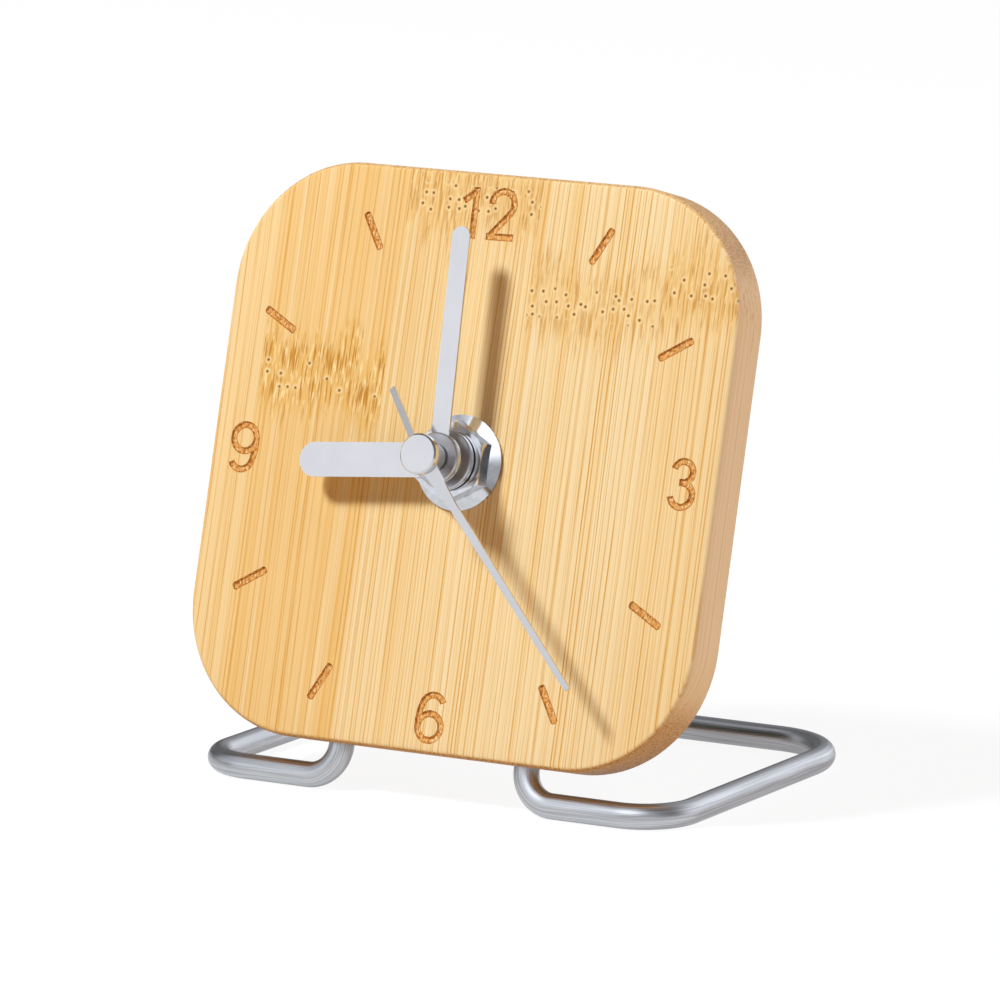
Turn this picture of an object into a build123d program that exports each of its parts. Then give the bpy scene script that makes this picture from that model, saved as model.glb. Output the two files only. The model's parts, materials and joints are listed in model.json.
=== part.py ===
from build123d import *
import math
import os

# Desk clock: a bamboo dial that leans back on a bent wire stand, with three hands and a battery
# movement behind it. Every piece is drawn in the dial's frame, in millimetres: X to the right,
# Y up the dial and Z out of its face, with zero in the middle of the face. At the end the clock
# is leant back, stood on its wire and centred over the origin.

# Fits that many pieces share
cut_overrun = 1.0  # how far a cut runs past the face that it opens
press_gap = 0.01  # radial gap of a pressed joint
running_gap = 0.05  # radial gap of a shaft that turns
side_gap = 0.3  # gap between faces that pass each other

# Dial board
board_width = 90.0  # and its height
board_thickness = 8.0
board_corner_radius = 20.8
board_edge_radius = 0.8
board_bore_gap = 0.15  # radial gap round the threaded bush

# Wire stand
lean_angle = 15.35  # degrees that the dial leans back
wire_diameter = 4.0
wire_end_spacing = 33.2  # between the two ends that go into the board
wire_end_depth = 14.0  # how far each end goes into the board
wire_neck = 0.2  # straight wire that shows below the board
wire_lift_radius = 5.2  # bend from a front run up to the board, at the axis
wire_front_radius = 8.2  # bends of the two front floor corners, at the axis
wire_rear_radius = 12.5  # bends of the two rear floor corners, at the axis
stand_width = 83.4  # between the axes of the side runs
stand_depth = 59.7  # between the axes of the front runs and the rear bar
wire_hole_spare = 0.4  # drilled depth beyond the wire's end

# Threaded bush, nut and rubber washer
bush_diameter = 7.9
bush_flange_diameter = 11.0
bush_flange_thickness = 0.8
bush_short_of_nut = 0.3  # the bush ends this far behind the nut's front
nut_flange_diameter = 14.9
nut_flange_thickness = 1.0
nut_across_flats = 11.2
nut_hex_height = 2.7
nut_chamfer = 0.6
washer_diameter = 24.0
washer_thickness = 0.8

# Coaxial tubes, from the outside in
hour_tube_radius = 2.5
minute_pipe_radius = 1.7
second_arbor_radius = 0.5

# Hands, each at the angle it has in the photograph, clockwise from the top of the dial
hour_angle = 265.0
hour_hand_length = 26.2
hour_hand_width = 5.4
hour_collet_radius = 4.65
minute_angle = 358.0
minute_hand_length = 35.8
minute_hand_width = 3.1
minute_collet_radius = 3.9
hand_thickness = 0.4
hour_collet_disc = 0.6
minute_collet_disc = 0.8
collet_wall = 0.7  # wall of the sleeve that is riveted into the hand
collet_chamfer = 0.2
hour_to_minute_rise = 1.7  # from the hour collet's face up to the minute hand
second_angle = 139.3
second_pointer_length = 43.2
second_tail_length = 13.0
second_pointer_drop_angle = 6.5  # degrees that the pointer is bent towards the dial
second_tail_drop_angle = 15.5
second_hub_radius = 2.2
second_root_width = 3.0
second_waist_width = 1.3
second_waist_reach = 9.0
second_tip_width = 0.9
second_tail_width = 1.0
second_boss_radius = 2.1
second_boss_height = 3.5
second_cap_radius = 3.15
second_cap_height = 1.1
second_cap_chamfer = 0.25
second_arbor_seat = 0.6  # depth of the arbor in the cap

# Movement case
case_corner_radius = 5.0
case_wall = 1.2
movement_depth = 16.0
cover_thickness = 1.2
partition_wall = 1.0
partition_gap = 1.06  # between the largest wheel on the shaft and the partition
plate_thickness = 1.0
plate_cover_gap = 0.5
plate_edge_gap = 0.3
plate_corner_radius = 3.0
post_radius = 1.5
post_inset = 3.3  # from the inside of the case to the middle of a post
boss_radius = 1.4
boss_height = 0.8
boss_hole_depth = 0.7
pivot_radius = 0.5
pivot_end_gap = 0.1

# Wheels: thickness, tooth form and teeth
wheel_thickness = 0.8
layer_gap = 0.4
pinion_margin = 0.1  # a pinion is this much longer than its wheel at each end
tooth_rise_share = 0.85  # of the module, above the pitch circle
tooth_fall_share = 1.2  # of the module, below the pitch circle
tooth_root_share = 0.26  # half width of a tooth at its root, of the tooth pitch
tooth_tip_share = 0.10  # half width of a tooth at its tip, of the tooth pitch
rotor_teeth = 12
step_wheel_teeth = 60
step_pinion_teeth = 10
second_wheel_teeth = 60
second_pinion_teeth = 8
third_wheel_teeth = 60
third_pinion_teeth = 8
centre_wheel_teeth = 64
cannon_teeth = 12
minute_wheel_teeth = 36
minute_pinion_teeth = 10
hour_wheel_teeth = 40

# Axes of the wheels: distance from the axis before, and direction anticlockwise from +X
third_reach = 9.6
third_bearing_angle = 160.0
minute_reach = 10.6
minute_bearing_angle = 5.0
step_reach = 9.8
step_bearing_angle = 80.0
rotor_reach = 7.2
rotor_bearing_angle = 30.0
minute_arbor_radius = 0.9
clutch_radius = 2.9
clutch_thickness = 0.25

# Setting knob
knob_radius = 6.0
knob_height = 3.0
knob_flutes = 24
knob_flute_depth = 0.5
knob_seat = 2.4  # depth of the shaft in the knob

# Stepping motor
magnet_radius = 2.6
magnet_height = 2.8
stator_air_gap = 0.4
stator_thickness = 0.8
stator_ring_width = 1.4
stator_bar_width = 4.4
stator_leg_width = 4.0
core_thickness = 1.0
core_width = 3.0
winding_length = 16.0
winding_radius = 3.6
bobbin_flange = 8.4
bobbin_flange_thickness = 1.0
bobbin_wall = 0.6
coil_ring_gap = 0.55  # between the yoke's ring and the winding
coil_wall_gap = 0.8  # between the bobbin and the upper wall of the case
coil_shift = 3.0  # of the coil's middle to the right of the shaft

# Circuit board
circuit_height = 18.0
circuit_thickness = 1.0
circuit_wall_gap = 2.3  # from the left wall of the case
circuit_arbor_gap = 2.5  # from the axis of the third wheel
circuit_rise = 5.4  # of its lower edge above the partition
circuit_parts_share = 0.25  # of its height, from its middle to the chip and to the crystal
chip_radius = 2.6
chip_height = 0.8
chip_chamfer = 0.5
crystal_radius = 1.0
crystal_length = 6.0

# Battery and contacts
battery_radius = 7.25
battery_body_length = 49.2
battery_nub_radius = 2.75
battery_nub_length = 1.3
battery_chamfer = 0.5
battery_side_gap = 0.7
battery_lip = 0.7  # of the cover over each long side of the bay
contact_thickness = 0.4
contact_width = 10.0
contact_height = 8.0
contact_gap = 0.05
leaf_reach = 2.2  # of the spring leaf, from its strip to the cell
leaf_rise_share = 0.36  # of the contact's height, to each foot of the leaf

# Heights along the shaft, from the dial's face
nut_front = nut_flange_thickness + nut_hex_height
hour_hand_back = nut_front + side_gap
hour_hand_front = hour_hand_back + hand_thickness
hour_collet_front = hour_hand_front + hour_collet_disc
minute_hand_back = hour_collet_front + hour_to_minute_rise
minute_hand_front = minute_hand_back + hand_thickness
minute_collet_front = minute_hand_front + minute_collet_disc
second_boss_back = minute_collet_front + layer_gap
second_hand_back = second_boss_back + second_boss_height
second_hand_front = second_hand_back + hand_thickness
second_cap_front = second_hand_front + second_cap_height

# Heights behind the dial
case_front = -(board_thickness + washer_thickness)
case_floor = case_front - case_wall
cover_back = case_front - movement_depth
case_back = cover_back + cover_thickness
plate_back = case_back + plate_cover_gap
plate_front = plate_back + plate_thickness
boss_top = case_floor - boss_height
pivot_front = boss_top + boss_hole_depth - pivot_end_gap
pivot_back = plate_back + pivot_end_gap
layer_pitch = wheel_thickness + layer_gap
hour_layer = case_floor - bush_flange_thickness - layer_gap
minute_layer = hour_layer - layer_pitch
centre_layer = minute_layer - layer_pitch
third_layer = centre_layer - layer_pitch
second_layer = third_layer - layer_pitch
step_layer = plate_front + layer_gap + wheel_thickness
coil_middle = plate_front + bobbin_flange / 2
stator_front = coil_middle - core_thickness / 2
stator_back = stator_front - stator_thickness
magnet_front = (stator_front + stator_back + magnet_height) / 2
rotor_post_top = magnet_front + side_gap


def along(start, reach, direction):
    """The point at a distance and a direction from another."""
    angle = math.radians(direction)
    return (start[0] + reach * math.cos(angle), start[1] + reach * math.sin(angle))


shaft_place = (0, 0)
third_place = along(shaft_place, third_reach, third_bearing_angle)
minute_place = along(shaft_place, minute_reach, minute_bearing_angle)
step_place = along(shaft_place, step_reach, step_bearing_angle)
rotor_place = along(step_place, rotor_reach, rotor_bearing_angle)


def module_for(reach, teeth, mate_teeth):
    """The module with which two wheels mesh at a distance."""
    return 2 * reach / (teeth + mate_teeth)


def tip_radius(teeth, module):
    """The radius of a wheel over its teeth."""
    return teeth * module / 2 + tooth_rise_share * module


going_module = module_for(third_reach, second_pinion_teeth, third_wheel_teeth)
centre_module = module_for(third_reach, third_pinion_teeth, centre_wheel_teeth)
step_module = module_for(step_reach, step_pinion_teeth, second_wheel_teeth)
rotor_module = module_for(rotor_reach, rotor_teeth, step_wheel_teeth)
cannon_module = module_for(minute_reach, cannon_teeth, minute_wheel_teeth)
hour_module = module_for(minute_reach, minute_pinion_teeth, hour_wheel_teeth)
largest_wheel_radius = max(
    tip_radius(hour_wheel_teeth, hour_module),
    tip_radius(centre_wheel_teeth, centre_module),
    tip_radius(second_wheel_teeth, step_module),
)

# Plan of the case. Half its inside width holds half the cell and its contacts. From the shaft the
# inside reaches up past the coil, and down past the largest wheel, the partition and the battery.
yoke_ring_radius = magnet_radius + stator_air_gap + stator_ring_width
coil_height = rotor_place[1] + yoke_ring_radius + coil_ring_gap + winding_radius
bay_width = 2 * (battery_radius + battery_side_gap)
partition_high = -largest_wheel_radius - partition_gap
partition_low = partition_high - partition_wall
inside_x = (battery_body_length + battery_nub_length + leaf_reach) / 2 + contact_thickness + contact_gap
inside_low = partition_low - bay_width
inside_high = coil_height + bobbin_flange / 2 + coil_wall_gap
inside_middle = (inside_low + inside_high) / 2
inside_height = inside_high - inside_low
battery_height = inside_low + bay_width / 2
battery_middle = case_floor - side_gap - battery_radius


def rod(radius, front, back, place=shaft_place):
    """A round bar between two heights."""
    bar = Cylinder(radius, front - back, align=(Align.CENTER, Align.CENTER, Align.MIN))
    return Pos(place[0], place[1], back) * bar


def tube(radius, bore, front, back, place=shaft_place):
    """A round bar with a bore right through it."""
    return rod(radius, front, back, place) - rod(bore, front + cut_overrun, back - cut_overrun, place)


def slab(face, front, back):
    """A flat outline made solid between two heights."""
    return extrude(Pos(0, 0, back) * face, amount=front - back, dir=(0, 0, 1))


# Teeth


def toothed(teeth, module, turn):
    """The outline of a wheel with straight-sided teeth, one of them centred at the angle given."""
    tip = tip_radius(teeth, module)
    root = teeth * module / 2 - tooth_fall_share * module
    corners = (
        (root, -tooth_root_share),
        (tip, -tooth_tip_share),
        (tip, tooth_tip_share),
        (root, tooth_root_share),
    )
    points = [
        along(shaft_place, radius, turn + (n + share) * 360 / teeth)
        for n in range(teeth)
        for radius, share in corners
    ]
    return Polygon(*points, align=None)


def meshing_turn(turn, teeth, mate_teeth, direction):
    """The turn of a wheel whose teeth stand midway between those of the wheel that it meshes with."""
    phase = (direction - turn) * teeth / 360
    return direction + 180 - (0.5 - phase) * 360 / mate_teeth


def wheel(teeth, module, turn, layer, place=shaft_place):
    """A toothed wheel whose front face is at the height of its layer."""
    outline = Pos(place[0], place[1]) * toothed(teeth, module, turn)
    return slab(outline, layer, layer - wheel_thickness)


def pinion(teeth, module, turn, layer, place=shaft_place):
    """A small toothed wheel, a little longer than the one that it meshes with."""
    outline = Pos(place[0], place[1]) * toothed(teeth, module, turn)
    return slab(outline, layer + pinion_margin, layer - wheel_thickness - pinion_margin)


# Dial board and stand


def dial_board():
    """The square bamboo board, bored for the bush and drilled from below for the wire."""
    outline = RectangleRounded(board_width, board_width, board_corner_radius)
    board = slab(outline, 0, -board_thickness)
    rims = board.faces().sort_by(Axis.Z)
    board = fillet(rims[0].edges() + rims[-1].edges(), board_edge_radius)
    board -= rod(bush_diameter / 2 + board_bore_gap, cut_overrun, -board_thickness - cut_overrun)
    hole_depth = wire_end_depth + wire_hole_spare + cut_overrun
    hole = Cylinder(
        wire_diameter / 2 + running_gap, hole_depth, align=(Align.CENTER, Align.CENTER, Align.MIN)
    )
    for side in (-1, 1):
        mouth = (side * wire_end_spacing / 2, -board_width / 2 - cut_overrun, -board_thickness / 2)
        board -= Pos(*mouth) * Rot(-90, 0, 0) * hole
    return board


wire_drop = wire_lift_radius + wire_neck
lean = math.radians(lean_angle)
foot_reach = board_width / 2 + wire_drop
dial_centre_height = (
    wire_diameter / 2 + foot_reach * math.cos(lean) + board_thickness / 2 * math.sin(lean)
)
upright = Pos(0, 0, dial_centre_height) * Rot(90 - lean_angle, 0, 0)


def standing(x, y, z):
    """A point of the dial's frame once the clock is stood up."""
    return (
        x,
        y * math.sin(lean) - z * math.cos(lean),
        dial_centre_height + y * math.cos(lean) + z * math.sin(lean),
    )


def wire_stand():
    """One bent wire, drawn standing: an end in the board, down, round the floor and up to the other end."""
    middle = -board_thickness / 2
    end_x = wire_end_spacing / 2
    end_y = wire_end_depth - board_width / 2
    front_y = standing(0, -foot_reach, middle)[1]
    rear_y = front_y + stand_depth
    axis_z = wire_diameter / 2
    right = [
        standing(end_x, end_y, middle),
        standing(end_x, -foot_reach, middle),
        (stand_width / 2, front_y, axis_z),
        (stand_width / 2, rear_y, axis_z),
    ]
    left = [(-x, y, z) for x, y, z in reversed(right)]
    radii = [wire_lift_radius, wire_front_radius, wire_rear_radius]
    path = FilletPolyline(*right, *left, radius=radii + radii[::-1])
    section = Plane(origin=path @ 0, z_dir=path % 0) * Circle(wire_diameter / 2)
    return sweep(section, path=path)


# What clamps the movement to the board


def threaded_bush():
    """The bush that carries the hour tube, with a flange behind the wall of the case."""
    bush = rod(bush_diameter / 2, nut_front - bush_short_of_nut, case_floor)
    bush += rod(bush_flange_diameter / 2, case_floor, case_floor - bush_flange_thickness)
    bore = hour_tube_radius + running_gap
    return bush - rod(bore, nut_front, case_floor - bush_flange_thickness - cut_overrun)


def hand_nut():
    """The flanged hexagon nut on the dial, with two flats facing the sides."""
    hexagon = RegularPolygon(nut_across_flats / 2, side_count=6, major_radius=False, rotation=30)
    corner_radius = nut_across_flats / 2 / math.cos(math.radians(30))
    round_bar = rod(corner_radius, nut_front, nut_flange_thickness)
    round_bar = chamfer(round_bar.edges().sort_by(Axis.Z)[-1], nut_chamfer)
    nut = slab(hexagon, nut_front, nut_flange_thickness) & round_bar
    nut += rod(nut_flange_diameter / 2, nut_flange_thickness, 0)
    return nut - rod(bush_diameter / 2 + press_gap, nut_front + cut_overrun, -cut_overrun)


def rubber_washer():
    """The ring that keeps the movement from turning on the board."""
    bore = bush_diameter / 2 + board_bore_gap
    return tube(washer_diameter / 2, bore, -board_thickness, case_front)


# Hands


def at_time(shape, angle):
    """A hand turned clockwise from the top of the dial."""
    return Rot(0, 0, -angle) * shape


def plain_hand(length, width, eye_radius, bore, front):
    """A flat hand with a round end and a round eye."""
    end = length - width / 2
    outline = Pos(0, end / 2) * Rectangle(width, end) + Pos(0, end) * Circle(width / 2)
    outline += Circle(eye_radius)
    outline -= Circle(bore)
    return slab(outline, front, front - hand_thickness)


def collet(disc_radius, bore, front, disc_thickness):
    """The turned bush of a hand: a disc on its face and a sleeve through its eye."""
    body = rod(disc_radius, front, front - disc_thickness)
    body = chamfer(body.edges().sort_by(Axis.Z)[-1], collet_chamfer)
    body += rod(bore + collet_wall, front - disc_thickness, front - disc_thickness - hand_thickness)
    return body - rod(bore, front + cut_overrun, front - disc_thickness - hand_thickness - cut_overrun)


def hour_hand():
    eye_bore = hour_tube_radius + press_gap + collet_wall + press_gap
    hand = plain_hand(hour_hand_length, hour_hand_width, hour_collet_radius, eye_bore, hour_hand_front)
    return at_time(hand, hour_angle)


def minute_hand():
    eye_bore = minute_pipe_radius + press_gap + collet_wall + press_gap
    hand = plain_hand(
        minute_hand_length, minute_hand_width, minute_collet_radius, eye_bore, minute_hand_front
    )
    return at_time(hand, minute_angle)


def second_hand():
    """A pointer and a tail that are bent towards the dial on both sides of a flat middle."""
    pointer_slope = math.tan(math.radians(second_pointer_drop_angle))
    tail_slope = math.tan(math.radians(second_tail_drop_angle))
    pointer_fall = (second_pointer_length - second_hub_radius) * pointer_slope
    tail_fall = (second_tail_length - second_hub_radius) * tail_slope
    top = [
        (-second_tail_length, second_hand_front - tail_fall),
        (-second_hub_radius, second_hand_front),
        (second_hub_radius, second_hand_front),
        (second_pointer_length, second_hand_front - pointer_fall),
    ]
    bottom = [(y, z - hand_thickness) for y, z in reversed(top)]
    side_view = Plane.YZ * Polygon(*top, *bottom, align=None)
    strip = extrude(side_view, amount=second_cap_radius, both=True)
    right = [
        (second_root_width / 2, 0),
        (second_waist_width / 2, second_waist_reach),
        (second_tip_width / 2, second_pointer_length),
    ]
    left = [(-x, y) for x, y in reversed(right)]
    outline = Polygon(*right, *left, align=None) + Circle(second_hub_radius)
    outline += Pos(0, -second_tail_length / 2) * Rectangle(second_tail_width, second_tail_length)
    plan = slab(outline, second_cap_front, minute_hand_back)
    hand = (strip & plan) - rod(second_arbor_radius + press_gap, second_cap_front, second_boss_back)
    return at_time(hand, second_angle)


def second_hand_cap():
    """The round button in front of the second hand, with a blind seat for the arbor."""
    cap = rod(second_cap_radius, second_cap_front, second_hand_front)
    cap = chamfer(cap.edges().sort_by(Axis.Z)[-1], second_cap_chamfer)
    seat_front = second_hand_front + second_arbor_seat + pivot_end_gap
    return cap - rod(second_arbor_radius + press_gap, seat_front, second_hand_front - cut_overrun)


# Movement case


def pivot_hole(place, top):
    """The blind hole in a boss of the case."""
    return rod(pivot_radius + running_gap, top + boss_hole_depth, top - cut_overrun, place)


def case_outline():
    """The outline that the front shell and the rear cover share."""
    width = 2 * (inside_x + case_wall)
    height = inside_height + 2 * case_wall
    return Pos(0, inside_middle) * RectangleRounded(width, height, case_corner_radius)


def movement_case():
    """The front shell: a square tray with the battery bay, the posts of the plate and the pivot bosses."""
    hollow = RectangleRounded(2 * inside_x, inside_height, case_corner_radius - case_wall)
    hollow = slab(Pos(0, inside_middle) * hollow, case_floor, case_back - cut_overrun)
    case = slab(case_outline(), case_front, case_back) - hollow
    partition = Pos(0, (partition_low + partition_high) / 2) * Rectangle(2 * inside_x, partition_wall)
    case += slab(partition, case_floor, case_back)
    for place in post_places():
        case += rod(post_radius, case_floor, plate_front, place)
    case += rod(boss_radius, case_floor, boss_top, third_place)
    case += rod(boss_radius, case_floor, boss_top, step_place)
    case += rod(2 * minute_arbor_radius, case_floor, boss_top, minute_place)
    case += rod(boss_radius, case_floor, rotor_post_top, rotor_place)
    for place in (third_place, step_place):
        case -= pivot_hole(place, boss_top)
    case -= pivot_hole(rotor_place, rotor_post_top)
    minute_hole = minute_arbor_radius + running_gap
    case -= rod(minute_hole, boss_top + boss_hole_depth, boss_top - cut_overrun, minute_place)
    return case - rod(bush_diameter / 2 + press_gap, case_front + cut_overrun, case_floor - cut_overrun)


def post_places():
    """The four posts that carry the train plate, in the corners of the train's space."""
    side = inside_x - post_inset
    low = partition_high + post_inset
    high = inside_high - post_inset
    return [(-side, low), (side, low), (-side, high), (side, high)]


def train_plate():
    """The plate that holds the back pivots of the wheels."""
    low = partition_high + plate_edge_gap
    high = inside_high - plate_edge_gap
    outline = RectangleRounded(2 * (inside_x - plate_edge_gap), high - low, plate_corner_radius)
    plate = slab(Pos(0, (low + high) / 2) * outline, plate_front, plate_back)
    for place in (shaft_place, third_place, step_place, rotor_place):
        plate -= rod(pivot_radius + running_gap, plate_front + cut_overrun, plate_back - cut_overrun, place)
    hole = minute_arbor_radius + running_gap
    return plate - rod(hole, plate_front + cut_overrun, plate_back - cut_overrun, minute_place)


def rear_cover():
    """The flat back, open over the battery and bored for the setting shaft."""
    cover = slab(case_outline(), case_back, cover_back)
    opening = Rectangle(2 * inside_x - battery_lip, bay_width - 2 * battery_lip)
    cover -= slab(Pos(0, battery_height) * opening, case_back + cut_overrun, cover_back - cut_overrun)
    hole = minute_arbor_radius + running_gap
    return cover - rod(hole, case_back + cut_overrun, cover_back - cut_overrun, minute_place)


# Wheels, set so that every pair meshes with its teeth midway

third_wheel_turn = meshing_turn(0, second_pinion_teeth, third_wheel_teeth, third_bearing_angle)
centre_wheel_turn = meshing_turn(0, third_pinion_teeth, centre_wheel_teeth, third_bearing_angle + 180)
step_pinion_turn = meshing_turn(0, second_wheel_teeth, step_pinion_teeth, step_bearing_angle)
rotor_turn = meshing_turn(0, step_wheel_teeth, rotor_teeth, rotor_bearing_angle)
minute_wheel_turn = meshing_turn(0, cannon_teeth, minute_wheel_teeth, minute_bearing_angle)
hour_wheel_turn = meshing_turn(0, minute_pinion_teeth, hour_wheel_teeth, minute_bearing_angle + 180)


def hour_wheel():
    """The wheel and tube that carry the hour hand."""
    body = wheel(hour_wheel_teeth, hour_module, hour_wheel_turn, hour_layer)
    body += rod(hour_tube_radius, hour_collet_front, hour_layer - wheel_thickness)
    bore = minute_pipe_radius + running_gap
    return body - rod(bore, hour_collet_front + cut_overrun, hour_layer - wheel_thickness - cut_overrun)


def cannon_pinion():
    """The pinion and pipe that carry the minute hand."""
    back = centre_layer - wheel_thickness
    body = pinion(cannon_teeth, cannon_module, 0, minute_layer)
    body += rod(minute_pipe_radius, minute_collet_front, back)
    bore = second_arbor_radius + 2 * running_gap
    return body - rod(bore, minute_collet_front + cut_overrun, back - cut_overrun)


def clutch_spring():
    """The spring ring that lets the cannon pinion slip in the centre wheel when the time is set."""
    front = minute_layer - wheel_thickness - pinion_margin
    return tube(clutch_radius, minute_pipe_radius + press_gap, front, front - clutch_thickness)


def centre_wheel():
    """The wheel that turns once an hour."""
    body = wheel(centre_wheel_teeth, centre_module, centre_wheel_turn, centre_layer)
    bore = minute_pipe_radius + running_gap
    return body - rod(bore, centre_layer + cut_overrun, centre_layer - wheel_thickness - cut_overrun)


def minute_wheel():
    """The wheel and pinion between the cannon pinion and the hour wheel, on the setting shaft."""
    body = wheel(minute_wheel_teeth, cannon_module, minute_wheel_turn, minute_layer, minute_place)
    body += pinion(minute_pinion_teeth, hour_module, 0, hour_layer, minute_place)
    shaft_back = cover_back - side_gap - knob_seat
    return body + rod(minute_arbor_radius, pivot_front, shaft_back, minute_place)


def setting_knob():
    """The fluted thumb knob on the back."""
    front = cover_back - side_gap
    rim = []
    for n in range(knob_flutes):
        rim.append(along(minute_place, knob_radius, n * 360 / knob_flutes))
        rim.append(along(minute_place, knob_radius - knob_flute_depth, (n + 0.5) * 360 / knob_flutes))
    knob = slab(Polygon(*rim, align=None), front, front - knob_height)
    seat = front - knob_seat - pivot_end_gap
    return knob - rod(minute_arbor_radius + press_gap, front + cut_overrun, seat, minute_place)


def second_arbor():
    """The thin steel arbor that runs through the pipe to the second hand."""
    return rod(second_arbor_radius, second_hand_front + second_arbor_seat, pivot_back)


def second_wheel():
    """The wheel that turns once a minute, with the pinion that drives the third wheel."""
    body = wheel(second_wheel_teeth, step_module, 0, second_layer)
    body += pinion(second_pinion_teeth, going_module, 0, third_layer)
    hub_back = second_layer - wheel_thickness
    hub_radius = second_pinion_teeth * going_module / 2
    body += rod(hub_radius, third_layer - wheel_thickness, hub_back)
    return body - rod(second_arbor_radius + press_gap, centre_layer, hub_back - cut_overrun)


def third_wheel():
    """The wheel between the second pinion and the centre wheel, with its pinion and arbor."""
    body = wheel(third_wheel_teeth, going_module, third_wheel_turn, third_layer, third_place)
    body += pinion(third_pinion_teeth, centre_module, 0, centre_layer, third_place)
    return body + rod(pivot_radius, pivot_front, pivot_back, third_place)


def step_wheel():
    """The wheel between the rotor and the second wheel, with its pinion and arbor."""
    body = wheel(step_wheel_teeth, rotor_module, 0, step_layer, step_place)
    body += pinion(step_pinion_teeth, step_module, step_pinion_turn, second_layer, step_place)
    return body + rod(pivot_radius, pivot_front, pivot_back, step_place)


# Stepping motor


def rotor_pinion():
    """The pinion and arbor of the rotor."""
    front = rotor_post_top + boss_hole_depth - pivot_end_gap
    body = pinion(rotor_teeth, rotor_module, rotor_turn, step_layer, rotor_place)
    return body + rod(pivot_radius, front, pivot_back, rotor_place)


def rotor_magnet():
    """The round magnet that turns half a turn at each pulse."""
    return tube(
        magnet_radius, pivot_radius + press_gap, magnet_front, magnet_front - magnet_height, rotor_place
    )


core_half = winding_length / 2 + bobbin_flange_thickness + stator_leg_width


def stator():
    """The soft iron yoke round the rotor, with a leg to each end of the coil's core."""
    low = rotor_place[1] - stator_bar_width / 2
    high = coil_height + core_width / 2
    bar = Pos(coil_shift, rotor_place[1]) * Rectangle(2 * core_half, stator_bar_width)
    yoke = bar + Pos(*rotor_place) * Circle(yoke_ring_radius)
    for side in (-1, 1):
        leg_x = coil_shift + side * (core_half - stator_leg_width / 2)
        yoke += Pos(leg_x, (low + high) / 2) * Rectangle(stator_leg_width, high - low)
    yoke -= Pos(*rotor_place) * Circle(magnet_radius + stator_air_gap)
    return slab(yoke, stator_front, stator_back)


def coil_core():
    """The flat iron core through the coil."""
    outline = Pos(coil_shift, coil_height) * Rectangle(2 * core_half, core_width)
    return slab(outline, coil_middle + core_thickness / 2, stator_front)


def coil_bobbin():
    """The plastic bobbin: two square flanges on a flat tube round the core."""
    flange_x = winding_length / 2 + bobbin_flange_thickness / 2
    bobbin = Box(winding_length, core_width + 2 * bobbin_wall, core_thickness + 2 * bobbin_wall)
    for side in (-1, 1):
        bobbin += Pos(side * flange_x, 0, 0) * Box(bobbin_flange_thickness, bobbin_flange, bobbin_flange)
    length = winding_length + 2 * bobbin_flange_thickness + 2 * cut_overrun
    bobbin -= Box(length, core_width + 2 * press_gap, core_thickness + 2 * press_gap)
    return Pos(coil_shift, coil_height, coil_middle) * bobbin


def coil_winding():
    """The wound wire, as one round body on the bobbin."""
    winding = Rot(0, 90, 0) * Cylinder(winding_radius, winding_length)
    width = core_width + 2 * (bobbin_wall + press_gap)
    height = core_thickness + 2 * (bobbin_wall + press_gap)
    winding -= Box(winding_length + 2 * cut_overrun, width, height)
    return Pos(coil_shift, coil_height, coil_middle) * winding


# Electronics and battery

circuit_left = circuit_wall_gap - inside_x
circuit_right = third_place[0] - circuit_arbor_gap
circuit_middle = (
    (circuit_left + circuit_right) / 2,
    partition_high + circuit_rise + circuit_height / 2,
)
circuit_front = plate_front + circuit_thickness


def circuit_board():
    """The small board on the train plate."""
    outline = Pos(*circuit_middle) * Rectangle(circuit_right - circuit_left, circuit_height)
    return slab(outline, circuit_front, plate_front)


def clock_chip():
    """The drop of resin over the chip."""
    place = (circuit_middle[0], circuit_middle[1] + circuit_parts_share * circuit_height)
    drop = rod(chip_radius, circuit_front + chip_height, circuit_front, place)
    return chamfer(drop.edges().sort_by(Axis.Z)[-1], chip_chamfer)


def quartz_crystal():
    """The small can of the crystal, lying on the board."""
    can = Rot(90, 0, 0) * Cylinder(crystal_radius, crystal_length)
    place = (circuit_middle[0], circuit_middle[1] - circuit_parts_share * circuit_height)
    return Pos(*place, circuit_front + crystal_radius) * can


def battery():
    """A round cell with its button at the right."""
    right = inside_x - contact_thickness - contact_gap
    body = Cylinder(battery_radius, battery_body_length)
    body = chamfer(body.edges().filter_by(GeomType.CIRCLE), battery_chamfer)
    nub_middle = (battery_body_length + battery_nub_length) / 2
    body += Pos(0, 0, nub_middle) * Cylinder(battery_nub_radius, battery_nub_length)
    middle = right - battery_nub_length - battery_body_length / 2
    return Pos(middle, battery_height, battery_middle) * Rot(0, 90, 0) * body


def contact_plate(side):
    """The flat spring strip on an end wall of the battery bay."""
    place = (side * (inside_x - contact_thickness / 2), battery_height, battery_middle)
    return Pos(*place) * Box(contact_thickness, contact_height, contact_width)


def positive_contact():
    return contact_plate(1)


def negative_contact():
    """The contact with a leaf that presses on the flat end of the cell."""
    foot_x = contact_thickness - inside_x
    foot_rise = leaf_rise_share * contact_height
    face = [(foot_x, -foot_rise), (foot_x + leaf_reach, 0), (foot_x, foot_rise)]
    back = [(x - contact_thickness, y) for x, y in reversed(face)]
    leaf = Polygon(*face, *back, align=None)
    leaf = slab(leaf, contact_width / 2, -contact_width / 2)
    return contact_plate(-1) + Pos(0, battery_height, battery_middle) * leaf


# Every piece, by its name

hour_bore = hour_tube_radius + press_gap
minute_bore = minute_pipe_radius + press_gap
boss_bore = second_arbor_radius + press_gap

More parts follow.
